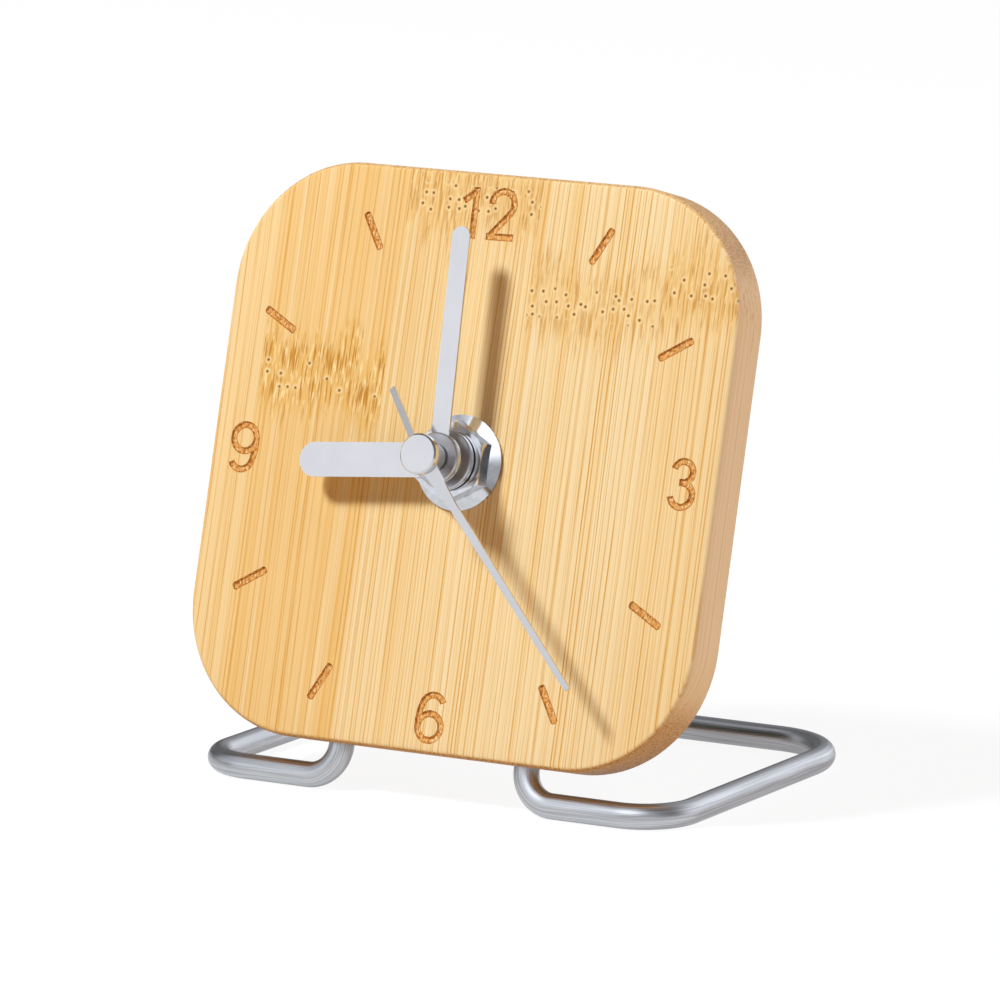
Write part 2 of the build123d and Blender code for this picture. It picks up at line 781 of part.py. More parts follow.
flat_pieces = {
    "dial_board": dial_board(),
    "threaded_bush": threaded_bush(),
    "hand_nut": hand_nut(),
    "rubber_washer": rubber_washer(),
    "hour_hand": hour_hand(),
    "hour_hand_collet": collet(hour_collet_radius, hour_bore, hour_collet_front, hour_collet_disc),
    "hour_wheel": hour_wheel(),
    "minute_hand": minute_hand(),
    "minute_hand_collet": collet(minute_collet_radius, minute_bore, minute_collet_front, minute_collet_disc),
    "cannon_pinion": cannon_pinion(),
    "clutch_spring": clutch_spring(),
    "second_hand": second_hand(),
    "second_hand_cap": second_hand_cap(),
    "second_hand_boss": tube(second_boss_radius, boss_bore, second_hand_back, second_boss_back),
    "second_arbor": second_arbor(),
    "second_wheel": second_wheel(),
    "third_wheel": third_wheel(),
    "centre_wheel": centre_wheel(),
    "minute_wheel": minute_wheel(),
    "setting_knob": setting_knob(),
    "step_wheel": step_wheel(),
    "rotor_pinion": rotor_pinion(),
    "rotor_magnet": rotor_magnet(),
    "stator": stator(),
    "coil_core": coil_core(),
    "coil_bobbin": coil_bobbin(),
    "coil_winding": coil_winding(),
    "circuit_board": circuit_board(),
    "clock_chip": clock_chip(),
    "quartz_crystal": quartz_crystal(),
    "movement_case": movement_case(),
    "train_plate": train_plate(),
    "rear_cover": rear_cover(),
    "battery": battery(),
    "positive_contact": positive_contact(),
    "negative_contact": negative_contact(),
}

pieces = {name: upright * piece for name, piece in flat_pieces.items()}
pieces["wire_stand"] = wire_stand()

# The origin is on the table, under the middle of the clock's box
boxes = [piece.bounding_box() for piece in pieces.values()]
depth_shift = -(min(box.min.Y for box in boxes) + max(box.max.Y for box in boxes)) / 2
centred = Pos(0, depth_shift, 0)

os.makedirs("parts", exist_ok=True)
for name, piece in pieces.items():
    export_step(centred * piece, f"parts/{name}.step")

axis = (0, math.cos(lean), -math.sin(lean))
print("axis of the hands, clockwise from the front:", axis)
for name, place in (
    ("shaft", shaft_place),
    ("third", third_place),
    ("minute", minute_place),
    ("step", step_place),
    ("rotor", rotor_place),
):
    x, y, z = standing(place[0], place[1], 0)
    print(f"{name} axis passes ({x:.6f}, {y + depth_shift:.6f}, {z:.6f})")
print(f"moved in depth by {depth_shift:.6f}")
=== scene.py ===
import json
import math

import bmesh
import bpy
from mathutils import Matrix, Vector


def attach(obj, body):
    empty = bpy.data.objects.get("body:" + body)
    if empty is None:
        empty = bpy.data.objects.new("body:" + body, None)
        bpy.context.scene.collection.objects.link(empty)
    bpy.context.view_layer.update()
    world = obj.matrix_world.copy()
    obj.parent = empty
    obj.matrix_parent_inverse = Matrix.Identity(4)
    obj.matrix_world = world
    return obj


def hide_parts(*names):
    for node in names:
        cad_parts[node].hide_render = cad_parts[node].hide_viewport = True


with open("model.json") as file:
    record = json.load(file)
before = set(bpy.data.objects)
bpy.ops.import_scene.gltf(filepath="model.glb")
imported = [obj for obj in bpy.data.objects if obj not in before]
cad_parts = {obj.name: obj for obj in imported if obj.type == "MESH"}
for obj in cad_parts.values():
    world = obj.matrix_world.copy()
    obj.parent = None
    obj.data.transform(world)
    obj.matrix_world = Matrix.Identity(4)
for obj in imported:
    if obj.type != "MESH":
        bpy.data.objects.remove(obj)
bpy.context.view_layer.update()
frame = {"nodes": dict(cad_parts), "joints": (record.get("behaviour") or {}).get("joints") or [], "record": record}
nodes = frame["nodes"]

# Sizes are in millimetres, in the dial's frame: X to the right, Y up the dial and Z out of its face, with
# zero in the middle of the face. The joint of the second hand gives that frame's place and lean.
mm = 0.001
shaft = next(joint for joint in frame["joints"] if joint["name"] == "second_hand_turn")
lean = math.atan2(-shaft["axis"][2], shaft["axis"][1])
dial_place = Vector(shaft["pos_m"])
dial_turn = math.pi / 2 - lean
dial_frame = Matrix.Translation(dial_place) @ Matrix.Rotation(dial_turn, 4, "X") @ Matrix.Scale(mm, 4)
dial_right = Vector((1, 0, 0))
dial_up = Vector((0, math.sin(lean), math.cos(lean)))
dial_out = Vector((0, -math.cos(lean), math.sin(lean)))

board_width = 90.0
board_thickness = 8.0
board_corner_radius = 20.8
board_edge_radius = 0.8
bush_bore_radius = 4.1
wire_hole_radius = 2.05
wire_hole_depth = 14.4

nut_across_flats = 11.2
nut_front = 3.7
nut_corner_cut = 0.45  # how far the turned cone goes past and inside the corners
nut_corner_drop = 0.55
nut_flange_radius = 7.45
nut_flange_rim = 0.5
nut_flange_rise = 0.6
nut_flange_slope = 1.75
nut_bore_radius = 3.96

wire_radius = 2.0
wire_end_spacing = 33.2
wire_end_depth = 14.0
wire_neck = 0.2
wire_lift_radius = 5.2
wire_front_radius = 8.2
wire_rear_radius = 12.5
stand_width = 83.4
stand_depth = 59.7

engraving_turn = math.radians(1.1)  # the marks sit a little turned on the board
engraving_drop = 0.36  # and a little below the shaft
scorch_depth = 0.08  # at the rim of a mark
engraving_depth = 0.22  # inside the rim
scorch_width = 0.17
bar_reach = 40.65
bar_length = 6.5
bar_width = 1.25
bar_corner_share = 0.35
numeral_reach = 39.04
stroke_width = 1.1

# Each numeral is drawn by strokes. A stroke has a start, a heading in degrees anticlockwise from the right,
# and moves: a length and no turn, or the radius of an arc and the degrees that it turns to the left.
numeral_strokes = {
    "1": [((0.6, 4.05), -90, [(8.1, 0)]), ((0.75, 3.45), 216, [(2.8, 0)])],
    "2": [((-1.95, 1.6), 90, [(2.0, -222), (5.0, 0)]), ((-2.4, -3.5), 0, [(4.8, 0)])],
    "3": [((-1.6, 2.3), 75, [(1.62, -255), (0.5, 0)]), ((-0.6, 0.26), 0, [(0.55, 0), (1.88, -260)])],
    "6": [((2.06, 2.37), 115, [(1.95, 134.2), (8.0, 20.8), (0.9, 0)]), ((-2.05, -1.45), -90, [(2.05, 360)])],
}
# What stands at each quarter: strokes, their shift to the right and their turn in degrees
numerals = {3: [("3", 0, 0)], 6: [("6", 0, 0)], 9: [("6", 0, 180)], 12: [("1", -3.3, 0), ("2", 2.15, 0)]}

corner_facets = 32
edge_facets = 6
round_facets = 48
wire_facets = 40
bend_facets = 16
arc_facet = 10  # degrees of a numeral's arc

# Pressed strips of the board from the left: left edge, paleness and height of the culm's node
strips = ((-45.0, 0.5, -90.0), (-38.0, 0.34, 11.0), (-15.5, 0.62, 40.5), (8.0, 0.75, 26.0),
          (31.0, 0.57, 30.6))
height_span = 200.0  # the green of a colour ramp holds heights over this span, with zero in its middle
strip_shift = (37.0, 410.0, 59.0)  # so that no strip repeats the next one's grain

# The bamboo's figure. A size of patches is across, along and into the board.
fibre_count_way = (1.0, 0.0, 1.3)  # fibres are counted across the board and through it
fibre_edge_share = 0.7  # of a fibre's width: from its middle to where it has faded
fibre_core_share = 0.2  # and to where it starts to fade
fibre_pitch = 0.41
fibre_width = 0.2
bundle_pitch = 0.8
bundle_width = 0.26
bundle_depth = 0.006
bundle_wear = (0.8, 24.0, 0.8)
wander = 1.4  # how far fibres stray sideways
wander_size = (9.0, 70.0, 9.0)
dark_streak = (2.2, 150.0, 2.2)
pale_streak = (1.4, 90.0, 1.4)
node_reach = 9.0  # from the middle of the culm's node to where it has faded
node_core = 3.0  # and to where it starts to fade
node_least_strength = 0.55  # on the palest strip
node_tear = 14.0  # how far chance moves its edge up or down
node_tear_sizes = ((4.0, 80.0, 4.0), (0.7, 60.0, 0.7))
node_fleck = (0.5, 2.6, 0.5)
node_dash = (0.34, 5.2, 0.34)
root_spacing = 1.9
root_row_reach = 2.7  # from the middle of the rows to where the dots are gone
root_row_core = 2.1
root_ring_shares = (0.5, 0.1)  # of the spacing: where a pale ring fades and where it is full
root_dot_shares = (0.2, 0.05)
cut_fibre = (0.24, 0.24, 0.5)
char_spot = (0.35, 0.5, 0.35)
ash_spot = (0.3, 0.6, 0.3)

# Other finishes
plastic_cloud = (9.0, 9.0, 9.0)
gloss_spread_share = 0.15

# Floor, light and camera. The floor's and the lamp's sizes are in metres, and the lamp's power is in watts.
floor_reach = 6.0
floor_glow = 1.13
floor_glow_share = 0.4  # in a reflection, and twice that to the camera
lamp_aim = Vector((0.0, 0.0, 0.05))
lamp_way = Vector((-4.05, -5.3, 7.5)).normalized()
lamp_distance = 2.0
lamp_size = 0.36
lamp_power = 43.0
lamp_daylight = (0.86, 0.96, 1.0)
# Each panel has its direction, the cosines of its edge and core, how bright metal sees it, and how strongly
# it lights matt surfaces.
panels = (
    ((-0.5, -0.82, 0.27), 0.92, 0.985, 0.94, 0.0),
    ((0.45, -0.85, 0.28), 0.8, 0.95, 0.4, 0.0),
    ((-0.08, -0.72, 0.69), 0.89, 0.97, 1.7, 0.0),
    ((-0.35, -0.3, 0.89), 0.85, 0.98, 0.6, 0.0),
    ((-0.85, -0.3, 0.43), 0.92, 0.965, 0.5, 0.0),
    ((0.9, 0.4, 0.2), 0.35, 0.95, 0.0, 1.35),
    ((0.6, 0.77, 0.2), 0.6, 0.95, 0.95, 0.0),
    ((0.0, 0.85, 0.53), 0.8, 0.98, 0.35, 0.15),
)
camera_from_dial = Vector((618.19, -1038.71, 225.02))  # along the axes of the clock, not of the dial
camera_dip = math.radians(10.81)
camera_turn = math.radians(30.47)
camera_lens = 288.0
camera_sensor = 36.0
camera_sight = 20.0  # metres


# Colours and nodes


def linear(code):
    """An sRGB hex colour as the linear colour that nodes take."""
    shares = [int(code[n : n + 2], 16) / 255 for n in (1, 3, 5)]
    return [s / 12.92 if s <= 0.04045 else ((s + 0.055) / 1.055) ** 2.4 for s in shares] + [1.0]


def add(tree, kind, inputs=None, stops=(), **settings):
    """Adds a node with its settings and gives its outputs. Each input is a value, or the output that it is
    linked from. The stops of a colour ramp are places with colours."""
    node = tree.nodes.new("ShaderNode" + kind)
    for name, value in settings.items():
        setattr(node, name, value)
    for key, value in (inputs or {}).items():
        if isinstance(value, bpy.types.NodeSocket):
            tree.links.new(value, node.inputs[key])
        else:
            node.inputs[key].default_value = value
    for count, (place, colour) in enumerate(stops):
        if count > 1:
            node.color_ramp.elements.new(1.0)
        node.color_ramp.elements[count].position = place
        node.color_ramp.elements[count].color = colour
    return node.outputs


def new_material(name):
    """A material with an empty tree."""
    material = bpy.data.materials.new(name)
    material.use_nodes = True
    material.node_tree.nodes.clear()
    return material, material.node_tree


def dial_coordinates(tree):
    """Object coordinates as millimetres in the dial's frame."""
    place = add(tree, "TexCoord")["Object"]
    inputs = {"Vector": place, "Location": dial_place, "Rotation": (dial_turn, 0, 0), "Scale": (mm, mm, mm)}
    return add(tree, "Mapping", inputs, vector_type="TEXTURE")[0]


def mottle(tree, place, size, detail=2.0):
    """Soft random patches of a size, from 0 to 1."""
    patches = add(tree, "VectorMath", {0: place, 1: size}, operation="DIVIDE")[0]
    return add(tree, "TexNoise", {"Vector": patches, "Scale": 1.0, "Detail": detail})["Fac"]


def stained(tree, colour, pattern, low, high, stain, strength=1.0):
    """A colour with a stain where a pattern goes from low to high."""
    inputs = {0: pattern, 1: low, 2: high, 3: 0.0, 4: strength}
    amount = add(tree, "MapRange", inputs, interpolation_type="SMOOTHSTEP")[0]
    return add(tree, "Mix", {0: amount, 6: colour, 7: stain}, data_type="RGBA")[2]


def facing(tree, direction):
    """How squarely the surface faces a direction, or its opposite, from 0 to 1."""
    normal = add(tree, "TexCoord")["Normal"]
    along = add(tree, "VectorMath", {0: normal, 1: direction}, operation="DOT_PRODUCT")["Value"]
    return add(tree, "Math", {0: along}, operation="ABSOLUTE")[0]


def finish(material, tree, inputs, height, depth):
    """Ends a material with its shader, and gives it a relief of a depth in millimetres."""
    relief = add(tree, "Bump", {"Height": height, "Strength": 1.0, "Distance": depth * mm})[0]
    shader = add(tree, "BsdfPrincipled", {**inputs, "Normal": relief})[0]
    add(tree, "OutputMaterial", {"Surface": shader})
    return material


# Materials


def pressed_strips(tree, place):
    """The paleness of each strip, the height above its culm's node and its grain's own coordinates."""
    parts = add(tree, "SeparateXYZ", {"Vector": place})
    half = board_width / 2
    share = add(tree, "MapRange", {0: parts["X"], 1: -half, 2: half})[0]
    stops = []
    for edge, tone, height in strips:
        stops.append(((edge + half) / board_width, (tone, height / height_span + 0.5, 0, 1)))
    ramp = add(tree, "ValToRGB", {"Fac": share}, stops)[0]
    ramp.node.color_ramp.interpolation = "CONSTANT"
    strip = add(tree, "SeparateColor", {"Color": ramp})
    pale = strip["Red"]
    inputs = {0: strip["Green"], 1: height_span, 2: -height_span / 2}
    node = add(tree, "Math", inputs, operation="MULTIPLY_ADD")[0]
    above = add(tree, "Math", {0: parts["Y"], 1: node}, operation="SUBTRACT")[0]
    shift = add(tree, "VectorMath", {0: pale, 1: strip_shift}, operation="MULTIPLY")[0]
    grain = add(tree, "VectorMath", {0: place, 1: shift}, operation="ADD")[0]
    return pale, above, grain


def fibre_lines(tree, across, pitch, width):
    """Fibres side by side at a mean pitch and of a width, each as strong as chance makes it."""
    cells = add(tree, "Math", {0: across, 1: pitch}, operation="DIVIDE")[0]
    cell = add(tree, "TexVoronoi", {"W": cells, "Scale": 1.0}, voronoi_dimensions="1D")
    edge = fibre_edge_share * width / pitch
    core = fibre_core_share * width / pitch
    inputs = {0: cell["Distance"], 1: edge, 2: core, 4: cell["Color"]}
    return add(tree, "MapRange", inputs, interpolation_type="SMOOTHSTEP")[0]


def culm_node(tree, colour, pale, above, grain):
    """The culm's node: a ragged darker band with pale flecks and brown dashes, fainter on pale strips."""
    torn = above
    for size in node_tear_sizes:
        inputs = {0: mottle(tree, grain, size), 1: node_tear, 2: torn}
        torn = add(tree, "Math", inputs, operation="MULTIPLY_ADD")[0]
    away = add(tree, "Math", {0: torn, 1: node_tear}, operation="SUBTRACT")[0]
    away = add(tree, "Math", {0: away}, operation="ABSOLUTE")[0]
    tones = [tone for edge, tone, height in strips]
    inputs = {0: pale, 1: min(tones), 2: max(tones), 3: 1.0, 4: node_least_strength}
    faint = add(tree, "MapRange", inputs)[0]
    inputs = {0: away, 1: node_reach, 2: node_core, 4: faint}
    band = add(tree, "MapRange", inputs, interpolation_type="SMOOTHSTEP")[0]
    colour = stained(tree, colour, band, 0.0, 1.0, linear("#EAB45A"), 0.5)
    flecks = mottle(tree, grain, node_fleck, 3.0)
    colour = stained(tree, colour, flecks, 0.5, 0.66, linear("#FCE0A6"), band)
    return stained(tree, colour, mottle(tree, grain, node_dash), 0.5, 0.64, linear("#C88833"), band)


def root_dots(tree, colour, pale, above, grain):
    """Rows of dark root dots in pale rings along the node, more of them on pale strips. They show only on
    the board's face."""
    level = add(tree, "Math", {0: above}, operation="ABSOLUTE")[0]
    normal = add(tree, "TexCoord")["Normal"]
    face = add(tree, "VectorMath", {0: normal, 1: dial_out}, operation="DOT_PRODUCT")["Value"]
    row = add(tree, "MapRange", {0: level, 1: root_row_reach, 2: root_row_core, 4: face})[0]
    roots = add(tree, "VectorMath", {0: grain, 1: [root_spacing] * 3}, operation="DIVIDE")[0]
    inputs = {"Vector": roots, "Scale": 1.0, "Randomness": 0.85}
    root = add(tree, "TexVoronoi", inputs, voronoi_dimensions="2D")
    kept = add(tree, "Math", {0: root["Color"], 1: pale}, operation="LESS_THAN")[0]
    row = add(tree, "Math", {0: row, 1: kept}, operation="MULTIPLY")[0]
    colour = stained(tree, colour, root["Distance"], *root_ring_shares, linear("#F9DAA0"), row)
    return stained(tree, colour, root["Distance"], *root_dot_shares, linear("#8C5012"), row)


def pressed_bamboo():
    """Flat-pressed bamboo, oiled. Straight orange fibres run up each pale strip. The culm's node crosses a
    strip as a ragged band of short dashes with rows of root dots. The sawn sides are painted paler, as
    painted light on them, and cut fibres are specks on the ends."""
    material, tree = new_material("pressed_bamboo_oiled")
    place = dial_coordinates(tree)
    pale, above, grain = pressed_strips(tree, place)
    across = add(tree, "VectorMath", {0: grain, 1: fibre_count_way}, operation="DOT_PRODUCT")["Value"]
    inputs = {0: mottle(tree, grain, wander_size), 1: wander, 2: across}
    across = add(tree, "Math", inputs, operation="MULTIPLY_ADD")[0]

    colour = stained(tree, linear("#F2C57E"), pale, 0.1, 0.8, linear("#FAE0B0"))
    colour = stained(tree, colour, mottle(tree, grain, dark_streak), 0.5, 0.75, linear("#EFBB6A"), 0.5)
    colour = stained(tree, colour, mottle(tree, grain, pale_streak), 0.5, 0.75, linear("#FCE9C4"), 0.55)
    fibres = fibre_lines(tree, across, fibre_pitch, fibre_width)
    colour = stained(tree, colour, fibres, 0.0, 1.0, linear("#E8B25A"), 0.6)
    worn = mottle(tree, grain, bundle_wear)
    worn = add(tree, "MapRange", {0: worn, 1: 0.3, 2: 0.6, 3: 0.3, 4: 1.0})[0]
    bundles = fibre_lines(tree, across, bundle_pitch, bundle_width)
    colour = stained(tree, colour, bundles, 0.0, 0.9, linear("#DDA043"), worn)
    colour = culm_node(tree, colour, pale, above, grain)
    colour = root_dots(tree, colour, pale, above, grain)

    # Painted light: the sawn sides at left and right are painted paler, standing in for the light that falls on
    # them
    colour = stained(tree, colour, facing(tree, dial_right), 0.5, 0.95, linear("#FFE4C4"), 0.45)
    specks = mottle(tree, place, cut_fibre)
    cut = stained(tree, linear("#E6BC84"), specks, 0.42, 0.66, linear("#BA8348"), 0.85)
    colour = stained(tree, colour, facing(tree, dial_up), 0.3, 0.62, cut)
    gloss = add(tree, "MapRange", {0: bundles, 3: 0.42, 4: 0.55})[0]
    sunk = add(tree, "Math", {0: 1.0, 1: bundles}, operation="SUBTRACT")[0]
    inputs = {"Base Color": colour, "Roughness": gloss, "IOR": 1.5, "Specular IOR Level": 0.25}
    return finish(material, tree, inputs, sunk, bundle_depth)


def burnt_bamboo(name, dark, light, pale, depth):
    """Bamboo burnt away by a laser: a rough brown floor, scorched in spots and pale in others."""
    material, tree = new_material(name)
    place = dial_coordinates(tree)
    char = mottle(tree, place, char_spot, 3.0)
    colour = stained(tree, linear(dark), char, 0.4, 0.55, linear(light))
    colour = stained(tree, colour, mottle(tree, place, ash_spot), 0.54, 0.68, linear(pale))
    inputs = {"Base Color": colour, "Roughness": 0.75, "Specular IOR Level": 0.2}
    return finish(material, tree, inputs, char, depth)


def uneven_gloss(tree, marks, rough):
    """A roughness that marks change a little."""
    least = (1 - gloss_spread_share) * rough
    most = (1 + gloss_spread_share) * rough
    return add(tree, "MapRange", {0: marks, 1: 0.3, 2: 0.7, 3: least, 4: most})[0]


def metal(name, light, dark, rough, size, depth, attribute=None):
    """A metal whose colour, gloss and surface vary a little with the marks of its making, of a size and a
    depth. They follow the dial's frame, or the piece's own attribute in millimetres."""
    material, tree = new_material(name)
    place = dial_coordinates(tree)
    if attribute:
        place = add(tree, "Attribute", attribute_name=attribute)["Vector"]
    marks = mottle(tree, place, size, 3.0)
    colour = stained(tree, linear(dark), marks, 0.3, 0.7, linear(light))
    gloss = uneven_gloss(tree, marks, rough)
    return finish(material, tree, {"Base Color": colour, "Metallic": 1.0, "Roughness": gloss}, marks, depth)


def plastic(name, light, dark, rough, grit, depth):
    """A plastic, resin, lacquer or rubber with a fine texture: a grit of a size and a depth."""
    material, tree = new_material(name)
    place = dial_coordinates(tree)
    texture = mottle(tree, place, (grit, grit, grit))
    colour = stained(tree, linear(dark), mottle(tree, place, plastic_cloud), 0.3, 0.7, linear(light))
    gloss = uneven_gloss(tree, texture, rough)
    return finish(material, tree, {"Base Color": colour, "Roughness": gloss, "IOR": 1.5}, texture, depth)


bamboo = pressed_bamboo()
# A mark's rim is browner than its floor
scorched = burnt_bamboo("laser_scorched_bamboo", "#A0581E", "#CC863C", "#E2A85C", depth=0.05)
burnt = burnt_bamboo("laser_engraved_bamboo", "#C67C38", "#E8AE64", "#FAD8A0", depth=0.1)
finishes = {
    # Satin: brush streaks along the wire, drawn coarser than they are so that they show
    "steel_wire": metal("stainless_brushed", "#DADBDE", "#B4B5B9", rough=0.34,
                        size=(0.2, 0.2, 14.0), depth=0.02, attribute="unbent"),
    # A bright mirror, only a little uneven
    "chrome_nut": metal("chromed_steel", "#DCDDE0", "#CBCCD0", rough=0.12,
                        size=(1.5, 1.5, 1.5), depth=0.001),
    # An even silver sheen with soft reflections
    "hand_aluminium": metal("aluminium_matt_anodised", "#DCDBDC", "#D7D6D7", rough=0.18,
                            size=(6.0, 6.0, 6.0), depth=0.001),
    # A soft shine with fine turning lines round the axis
    "collet_nickel": metal("nickel_plated_turned", "#CDCDD0", "#B9B9BD", rough=0.36,
                           size=(3.0, 3.0, 0.12), depth=0.002),
    # A warm shine between rough turning lines
    "bush_brass": metal("brass_turned", "#C9B06A", "#A98F4C", rough=0.25,
                        size=(3.0, 3.0, 0.4), depth=0.01),
    # Dull black without any gloss
    "washer_rubber": plastic("rubber_sheet", "#26262A", "#17171A", rough=0.8,
                             grit=0.25, depth=0.02),
    # Matt black with the fine grain of a spark-eroded tool
    "case_plastic": plastic("abs_black_moulded", "#2A2A2D", "#1E1E21", rough=0.5,
                            grit=0.3, depth=0.02),
    # Milky white, smooth and a little waxy
    "wheel_plastic": plastic("acetal_natural", "#F1EFE6", "#E2DFD2", rough=0.4,
                             grit=0.4, depth=0.005),
    # Grey shine with fine lines along the axis
    "arbor_steel": metal("steel_drawn", "#C0C0C4", "#9C9CA1", rough=0.25,
                         size=(0.1, 0.1, 3.0), depth=0.003),
    # Dull grey with rolled patches
    "soft_iron": metal("iron_stamped", "#9A9A9D", "#7C7C80", rough=0.45,
                       size=(0.6, 0.6, 0.6), depth=0.006),
    # Dark and grainy, with hardly any shine
    "rotor_ferrite": metal("ferrite_sintered", "#4A4A4E", "#2C2C30", rough=0.6,
                           size=(0.3, 0.3, 0.3), depth=0.01),
    # Red-gold turns of wire that lie side by side along the bobbin
    "coil_copper": metal("copper_enamelled_wire", "#C97B45", "#8E4A22", rough=0.3,
                         size=(0.12, 4.0, 4.0), depth=0.03),
    # Glossy green lacquer
    "circuit_green": plastic("solder_mask_green", "#1F6B43", "#12502F", rough=0.3,
                             grit=0.5, depth=0.01),
    # A wet-looking black drop
    "chip_resin": plastic("resin_black", "#1C1C1E", "#0E0E10", rough=0.25,
                          grit=1.2, depth=0.02),
    # Bright tin, a little cloudy
    "crystal_can": metal("tinned_can", "#D0D0D2", "#B4B4B7", rough=0.25,
                         size=(0.5, 0.5, 0.5), depth=0.002),
    # Warm silver with fine lines from rolling
    "contact_spring": metal("nickel_plated_spring", "#D2CFC8", "#B5B2AC", rough=0.25,
                            size=(0.3, 2.0, 0.3), depth=0.003),
    # A plain dark green film with an even gloss
    "battery_film": plastic("battery_film", "#2F5A4C", "#244A3E", rough=0.3,
                            grit=0.8, depth=0.004),
}
for part in frame["record"]["subparts"]:
    if part["material_slot"] in finishes:
        nodes[part["node"]].data.materials.clear()
        nodes[part["node"]].data.materials.append(finishes[part["material_slot"]])


# Shaping


def new_object(name, bm, *materials):
    """A mesh object from a bmesh."""
    bmesh.ops.recalc_face_normals(bm, faces=bm.faces)
    mesh = bpy.data.meshes.new(name)
    bm.to_mesh(mesh)
    bm.free()
    for material in materials:
        mesh.materials.append(material)
    piece = bpy.data.objects.new(name, mesh)
    bpy.context.scene.collection.objects.link(piece)
    return piece


def hand_in(piece, matrix, node, sharp_from):
    """Puts a finished piece in its place on the clock, in metres and instead of a node of the CAD. Its
    shading is smooth, but not over edges that turn by more than some degrees."""
    piece.data.transform(matrix)
    for face in piece.data.polygons:
        face.use_smooth = True
    piece.data.set_sharp_from_angle(angle=math.radians(sharp_from))
    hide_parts(node)
    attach(piece, "clock")


def join_into(bm, other, matrix):
    """Adds one bmesh to another, at a place."""
    other.transform(matrix)
    mesh = bpy.data.meshes.new("joined")
    other.to_mesh(mesh)
    other.free()
    bm.from_mesh(mesh)
    bpy.data.meshes.remove(mesh)


def combine(piece, operation, tool):
    """Cuts a tool from a piece, joins it or keeps what they share, and takes the tool away."""
    change = piece.modifiers.new(operation, "BOOLEAN")
    change.operation = operation
    change.solver = "EXACT"
    change.use_self = True
    change.material_mode = "TRANSFER"
    change.object = tool
    piece.data = bpy.data.meshes.new_from_object(piece.evaluated_get(bpy.context.evaluated_depsgraph_get()))
    piece.modifiers.clear()
    bpy.data.objects.remove(tool)


def rounded(bm, edges, radius, facets):
    """Rounds edges."""
    bmesh.ops.bevel(bm, geom=edges, offset=radius, offset_type="OFFSET", affect="EDGES",
                    segments=facets, profile=0.5, material=-1)


def upright(bm, height):
    """Edges that stand along Z for most of a height."""
    return [e for e in bm.edges if abs(e.verts[0].co.z - e.verts[1].co.z) > height / 2]


def block(width, length, height, radius, facets):
    """A block around zero with rounded upright edges."""
    bm = bmesh.new()
    bmesh.ops.create_cube(bm, size=1.0)
    bmesh.ops.scale(bm, vec=(width, length, height), verts=bm.verts)
    rounded(bm, upright(bm, height), radius, facets)
    return bm


def rod(radius, length):
    """A round bar along Z, on both sides of zero."""
    bm = bmesh.new()
    bmesh.ops.create_cone(bm, cap_ends=True, segments=round_facets, radius1=radius, radius2=radius,
                          depth=length)
    return bm


# Board


def plain_board():
    """The rounded square with softened rims."""
    bm = block(board_width, board_width, board_thickness, board_corner_radius, corner_facets)
    sides = upright(bm, board_thickness)
    rounded(bm, [e for e in bm.edges if e not in sides], board_edge_radius, edge_facets)
    bmesh.ops.translate(bm, vec=(0, 0, -board_thickness / 2), verts=bm.verts)
    return bm


def drills():
    """What is drilled away: the bore for the bush and the two holes for the wire's ends."""
    bm = rod(bush_bore_radius, 3 * board_thickness)
    for side in (-1, 1):
        mouth = Vector((side * wire_end_spacing / 2, -board_width / 2, -board_thickness / 2))
        turn = Matrix.Rotation(math.pi / 2, 4, "X")
        join_into(bm, rod(wire_hole_radius, 2 * wire_hole_depth), Matrix.Translation(mouth) @ turn)
    return bm


def heading_vectors(heading):
    """Unit vectors on the face, along a heading in radians and to its left."""
    ahead = Vector((math.cos(heading), math.sin(heading), 0))
    return ahead, Vector((-ahead.y, ahead.x, 0))


def pen_stroke(depth, inset, start, heading, moves):
    """A stroke of a numeral: a flat pen drawn along its moves, standing out on both sides of the face. An
    inset narrows the stroke and pulls in its ends."""
    bm = bmesh.new()
    place = Vector((*start, -depth))
    heading = math.radians(heading)
    ahead, left = heading_vectors(heading)
    pulled = inset * ahead
    tips = [bm.verts.new(place + side * (stroke_width / 2 - inset) * left) for side in (-1, 1)]
    pen = [bm.edges.new(tips)]
    for size, turn in moves:
        if turn:
            middle = place + math.copysign(size, turn) * left
            angle = math.radians(turn)
            made = bmesh.ops.spin(bm, geom=pen, cent=middle, axis=(0, 0, 1), angle=angle,
                                  steps=math.ceil(abs(turn) / arc_facet), use_merge=abs(turn) == 360)
            place = middle + Matrix.Rotation(angle, 3, "Z") @ (place - middle)
            heading += angle
            ahead, left = heading_vectors(heading)
            pen = [e for e in made["geom_last"] if isinstance(e, bmesh.types.BMEdge)]
        else:
            made = bmesh.ops.extrude_edge_only(bm, edges=pen)["geom"]
            ends = [v for v in made if isinstance(v, bmesh.types.BMVert)]
            bmesh.ops.translate(bm, vec=size * ahead, verts=ends)
            pen = [e for e in made if isinstance(e, bmesh.types.BMEdge) and all(v in ends for v in e.verts)]
            place = place + size * ahead
    if moves[-1][1] != 360:
        bmesh.ops.translate(bm, vec=pulled, verts=tips)
        bmesh.ops.translate(bm, vec=-inset * ahead, verts=pen[0].verts)
    top = bmesh.ops.extrude_face_region(bm, geom=bm.faces[:])["geom"]
    raised = [v for v in top if isinstance(v, bmesh.types.BMVert)]
    bmesh.ops.translate(bm, vec=(0, 0, 2 * depth), verts=raised)
    return bm


